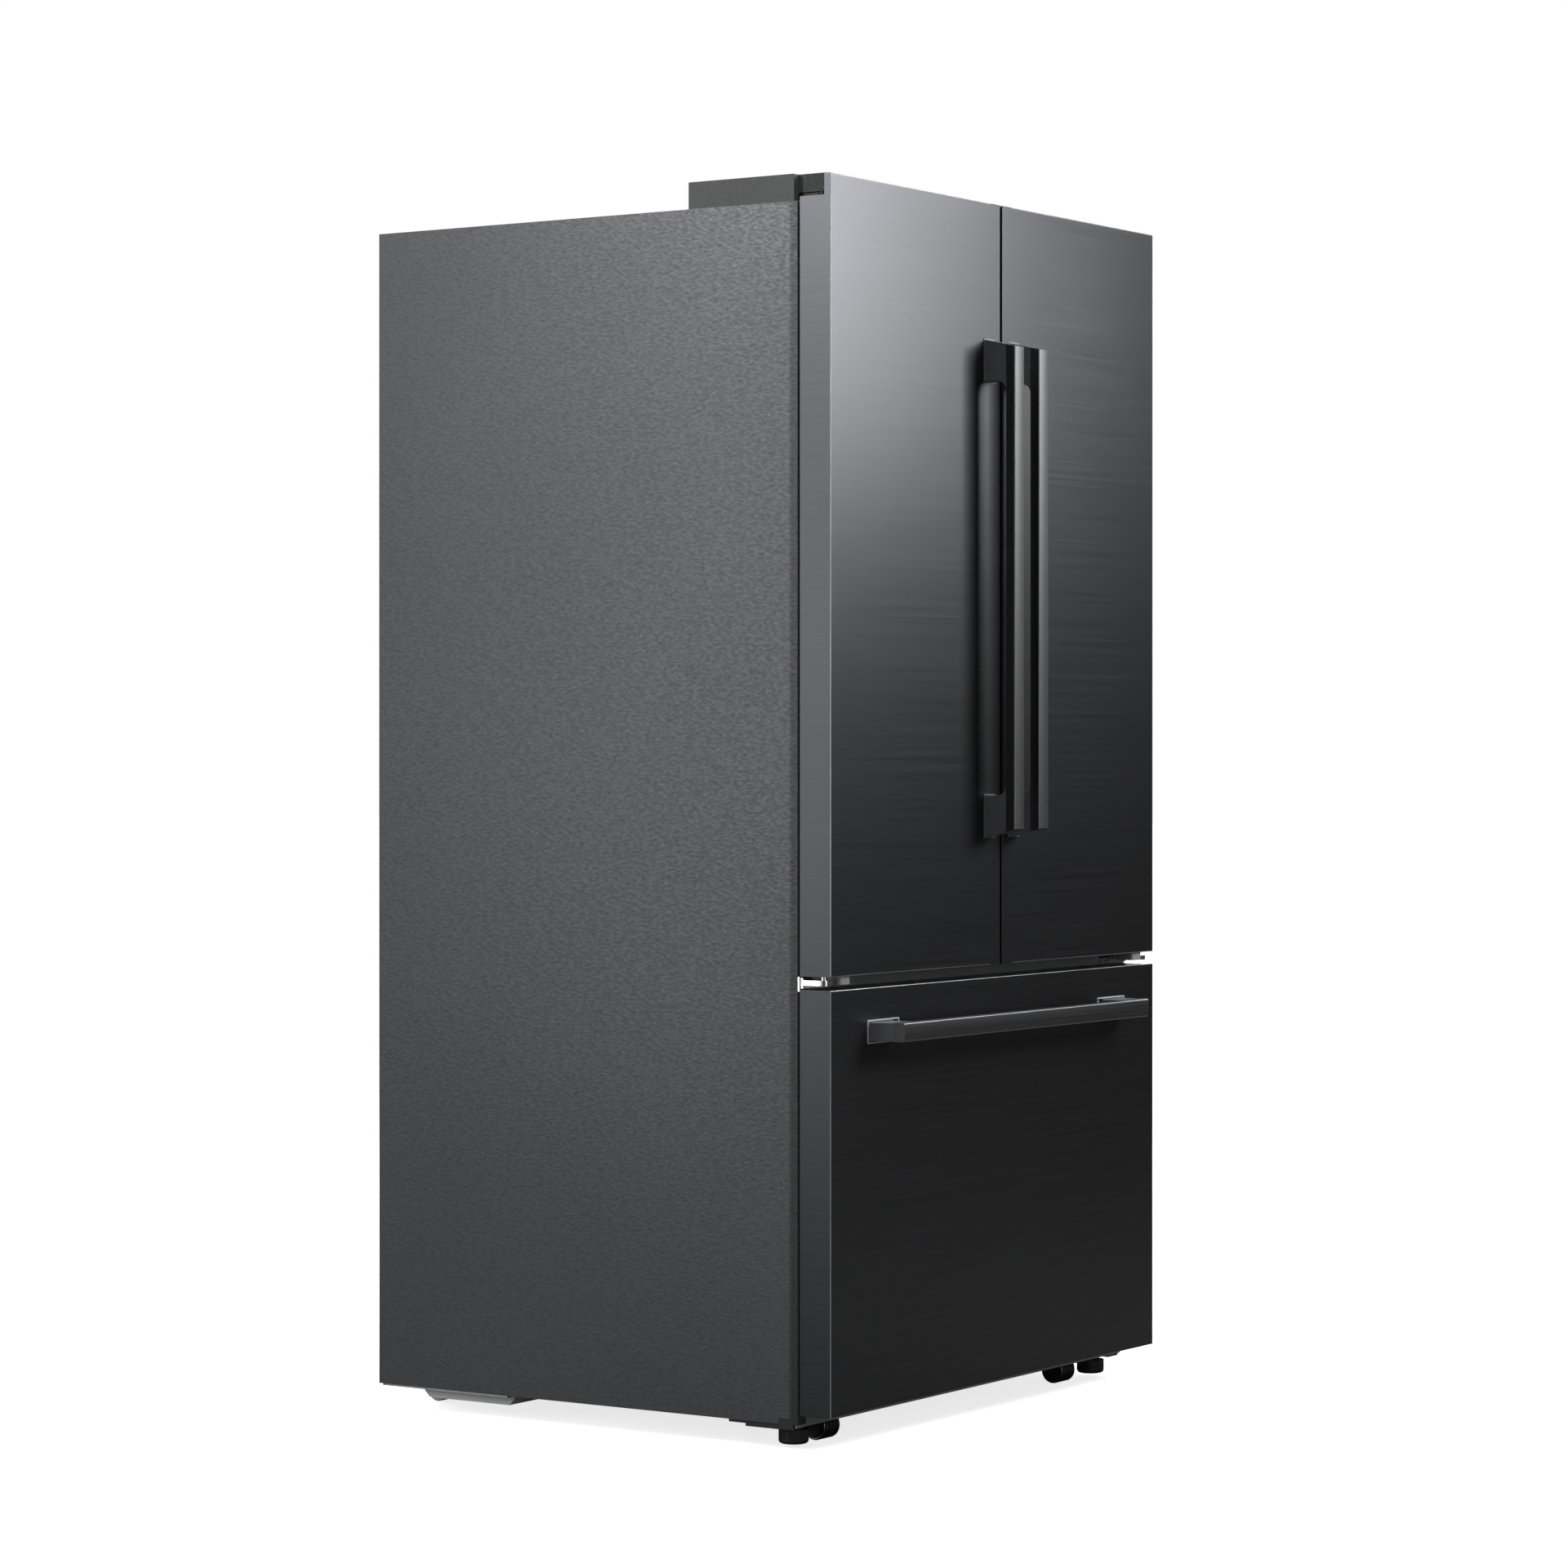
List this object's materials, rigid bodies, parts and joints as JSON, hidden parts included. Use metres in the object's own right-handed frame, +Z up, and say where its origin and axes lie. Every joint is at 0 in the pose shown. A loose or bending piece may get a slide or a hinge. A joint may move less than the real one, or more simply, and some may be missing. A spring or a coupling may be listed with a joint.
{
  "type": "french door refrigerator",
  "caption": "Free-standing refrigerator: two side-hinged doors with bar handles over a pull-out freezer drawer, with shelves, crispers, door bins, rails and cooling parts.",
  "frame": {"origin": "on the floor under the centre of the bounding box", "axes": "+Z up, -Y out of the front of the doors, +X to the right seen from the front"},
  "size_m": [0.908, 0.84, 1.7557],
  "materials": {
    "side_paint": "matte",
    "case_steel": "satin",
    "black_stainless": "satin",
    "handle_steel": "satin",
    "handle_post": "satin",
    "hinge_zinc": "satin",
    "dark_steel": "satin",
    "rail_paint": "satin",
    "cover_plastic": "satin",
    "black_plastic": "matte",
    "seal_rubber": "matte",
    "white_plastic": "satin",
    "clear_plastic": "gloss",
    "glass": "gloss",
    "foam": "matte",
    "compressor_paint": "satin",
    "copper_steel": "satin",
    "coil_aluminium": "satin",
    "zinc_steel": "satin",
    "lens": "satin",
    "panel_gloss": "gloss"
  },
  "bodies": {
    "cabinet": {"air_tower": "white_plastic", "back_panel": "case_steel", "bottom_panel": "case_steel", "cabinet_foam": "foam", "compressor": "compressor_paint", "condenser_coil": "copper_steel", "condenser_fan_shroud": "black_plastic", "control_panel": "panel_gloss", "drain_pan": "white_plastic", "drawer_rails_fixed": "zinc_steel", "evaporator": "coil_aluminium", "evaporator_cover": "white_plastic", "freezer_liner": "white_plastic", "fresh_food_liner": "white_plastic", "front_leg_brackets": "black_plastic", "front_rails": "rail_paint", "hinge_covers": "cover_plastic", "hinge_screws": "hinge_zinc", "light_lens": "lens", "machine_base": "zinc_steel", "machine_cover": "black_plastic", "middle_hinges": "hinge_zinc", "shelf_glass": "glass", "shelf_trims": "white_plastic", "side_panel_left": "side_paint", "side_panel_right": "side_paint", "top_hinges": "dark_steel", "top_panel": "case_steel"},
    "left_door": {"left_door_skin": "black_stainless", "left_door_liner": "white_plastic", "left_door_gasket": "seal_rubber", "left_door_bins": "clear_plastic", "left_handle_bar": "handle_steel", "left_handle_posts": "handle_post"},
    "right_door": {"right_door_skin": "black_stainless", "right_door_liner": "white_plastic", "right_door_gasket": "seal_rubber", "right_door_bins": "clear_plastic", "right_handle_bar": "handle_steel", "right_handle_posts": "handle_post"},
    "mullion_flap": {"mullion_flap": "cover_plastic"},
    "freezer_drawer": {"drawer_front_skin": "black_stainless", "drawer_front_liner": "white_plastic", "drawer_gasket": "seal_rubber", "drawer_handle_bar": "handle_steel", "drawer_handle_posts": "handle_post", "drawer_frame": "zinc_steel", "freezer_lower_bin": "clear_plastic"},
    "middle_rails": {"drawer_rails_middle": "zinc_steel"},
    "upper_basket": {"freezer_upper_basket": "clear_plastic"},
    "crisper_left": {"crisper_left": "clear_plastic"},
    "crisper_right": {"crisper_right": "clear_plastic"},
    "foot_left": {"foot_left": "black_plastic"},
    "foot_right": {"foot_right": "black_plastic"},
    "roller_front_left": {"roller_front_left": "black_plastic"},
    "roller_front_right": {"roller_front_right": "black_plastic"},
    "roller_rear_left": {"roller_rear_left": "white_plastic"},
    "roller_rear_right": {"roller_rear_right": "white_plastic"},
    "condenser_fan": {"condenser_fan": "black_plastic"},
    "evaporator_fan": {"evaporator_fan": "black_plastic"}
  },
  "joints": [
    {"name": "left_door_hinge", "type": "hinge", "parent": "cabinet", "child": "left_door", "pos_m": [-0.44, -0.34795, 1.188], "axis": [0, 0, -1], "range_deg": [0, 110]},
    {"name": "right_door_hinge", "type": "hinge", "parent": "cabinet", "child": "right_door", "pos_m": [0.44, -0.34795, 1.188], "axis": [0, 0, 1], "range_deg": [0, 110]},
    {"name": "mullion_flap_hinge", "type": "hinge", "parent": "left_door", "child": "mullion_flap", "pos_m": [-0.04, -0.30695, 1.17], "axis": [0, 0, -1], "range_deg": [0, 90]},
    {"name": "freezer_drawer_slide", "type": "slide", "parent": "cabinet", "child": "freezer_drawer", "axis": [0, -1, 0], "range_m": [0, 0.43]},
    {"name": "middle_rails_slide", "type": "slide", "parent": "cabinet", "child": "middle_rails", "axis": [0, -1, 0], "range_m": [0, 0.215]},
    {"name": "upper_basket_slide", "type": "slide", "parent": "cabinet", "child": "upper_basket", "axis": [0, -1, 0], "range_m": [0, 0.258]},
    {"name": "crisper_left_slide", "type": "slide", "parent": "cabinet", "child": "crisper_left", "axis": [0, -1, 0], "range_m": [0, 0.058]},
    {"name": "crisper_right_slide", "type": "slide", "parent": "cabinet", "child": "crisper_right", "axis": [0, -1, 0], "range_m": [0, 0.058]},
    {"name": "foot_left_screw", "type": "slide", "parent": "cabinet", "child": "foot_left", "axis": [0, 0, -1], "range_m": [0, 0.012]},
    {"name": "foot_right_screw", "type": "slide", "parent": "cabinet", "child": "foot_right", "axis": [0, 0, -1], "range_m": [0, 0.012]},
    {"name": "roller_front_left_axle", "type": "hinge", "parent": "cabinet", "child": "roller_front_left", "pos_m": [-0.33, -0.27195, 0.019], "axis": [1, 0, 0], "continuous": true},
    {"name": "roller_front_right_axle", "type": "hinge", "parent": "cabinet", "child": "roller_front_right", "pos_m": [0.33, -0.27195, 0.019], "axis": [1, 0, 0], "continuous": true},
    {"name": "roller_rear_left_axle", "type": "hinge", "parent": "cabinet", "child": "roller_rear_left", "pos_m": [-0.33, 0.39505, 0.019], "axis": [1, 0, 0], "continuous": true},
    {"name": "roller_rear_right_axle", "type": "hinge", "parent": "cabinet", "child": "roller_rear_right", "pos_m": [0.33, 0.39505, 0.019], "axis": [1, 0, 0], "continuous": true},
    {"name": "condenser_fan_axle", "type": "hinge", "parent": "cabinet", "child": "condenser_fan", "pos_m": [0.012, 0.29605, 0.136], "axis": [1, 0, 0], "continuous": true},
    {"name": "evaporator_fan_axle", "type": "hinge", "parent": "cabinet", "child": "evaporator_fan", "pos_m": [0, 0.25405, 0.54], "axis": [0, 1, 0], "continuous": true}
  ],
  "couplings": [
    {"joint": "middle_rails_slide", "follows": "freezer_drawer_slide", "ratio": 0.5},
    {"joint": "upper_basket_slide", "follows": "freezer_drawer_slide", "ratio": 0.6}
  ]
}
